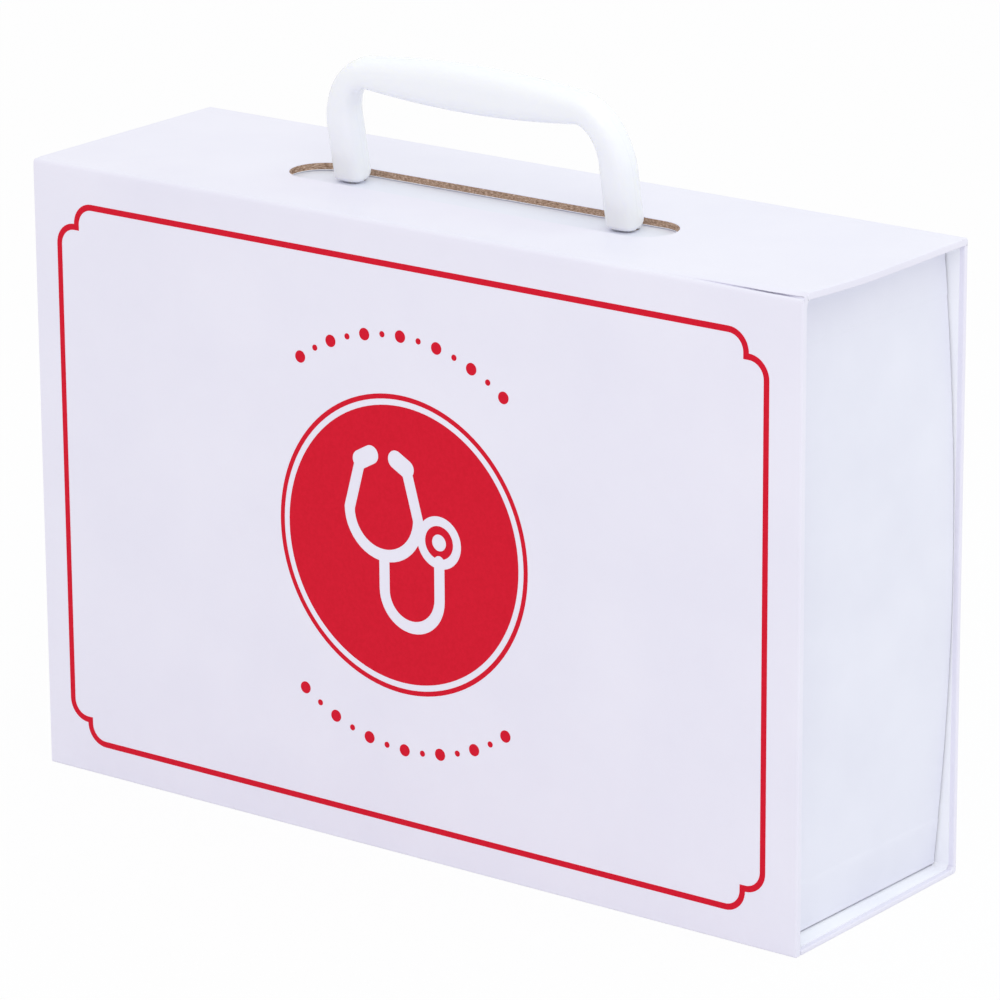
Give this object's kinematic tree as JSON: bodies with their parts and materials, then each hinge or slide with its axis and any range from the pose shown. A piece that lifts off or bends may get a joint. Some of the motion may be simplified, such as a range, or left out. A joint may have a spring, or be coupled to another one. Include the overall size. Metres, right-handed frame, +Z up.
{
  "type": "toy doctor case",
  "caption": "White book-style carton case with a lid and closing flap at the back, a shallow tray inside, a red printed border and a moulded carrying handle.",
  "frame": {"origin": "middle of the base that the closed case stands on", "axes": "+X to the viewer's right along the width, +Y from the printed front to the lid, +Z up to the handle"},
  "size_m": [0.3, 0.09, 0.2504],
  "materials": {
    "greyboard": "raw brown cut edge of greyboard",
    "tray_greyboard": "greyboard, covered",
    "kraft_tape": "gummed kraft tape",
    "covering_paper": "white coated art paper, satin",
    "liner_paper": "white uncoated paper, matt",
    "tray_paper": "white coated paper, satin",
    "red_ink": "offset ink on coated paper",
    "handle_plastic": "glossy moulded plastic",
    "pin_steel": "bright wire",
    "magnet_nickel": "nickel plated"
  },
  "bodies": {
    "case": {"front_board": "greyboard", "front_wrap": "covering_paper", "border_print": "red_ink", "emblem_print": "red_ink", "spine_board": "greyboard", "spine_wrap": "covering_paper", "spine_liner": "liner_paper", "tray_floor": "tray_greyboard", "tray_top_wall": "tray_greyboard", "tray_bottom_wall": "tray_greyboard", "tray_left_end": "tray_greyboard", "tray_right_end": "tray_greyboard", "tray_corner_tapes": "kraft_tape", "tray_wrap": "tray_paper", "tray_lining": "tray_paper", "tray_magnets": "magnet_nickel", "handle_backing": "tray_greyboard", "handle_backing_cover": "tray_paper", "handle_pins": "pin_steel"},
    "lid": {"lid_board": "greyboard", "lid_wrap": "covering_paper", "lid_liner": "liner_paper"},
    "flap": {"flap_board": "greyboard", "flap_wrap": "covering_paper", "flap_liner": "liner_paper", "flap_magnets": "magnet_nickel"},
    "handle": {"handle": "handle_plastic"}
  },
  "joints": [
    {"name": "lid_hinge", "type": "hinge", "parent": "case", "child": "lid", "pos_m": [0, 0.045, 0.207], "axis": [1, 0, 0], "range_deg": [0, 180]},
    {"name": "flap_hinge", "type": "hinge", "parent": "lid", "child": "flap", "pos_m": [0, 0.045, 0], "axis": [1, 0, 0], "range_deg": [0, 180]},
    {"name": "handle_swing", "type": "hinge", "parent": "case", "child": "handle", "pos_m": [0, 0.0012, 0.19955], "axis": [-1, 0, 0], "range_deg": [0, 17.7]}
  ]
}
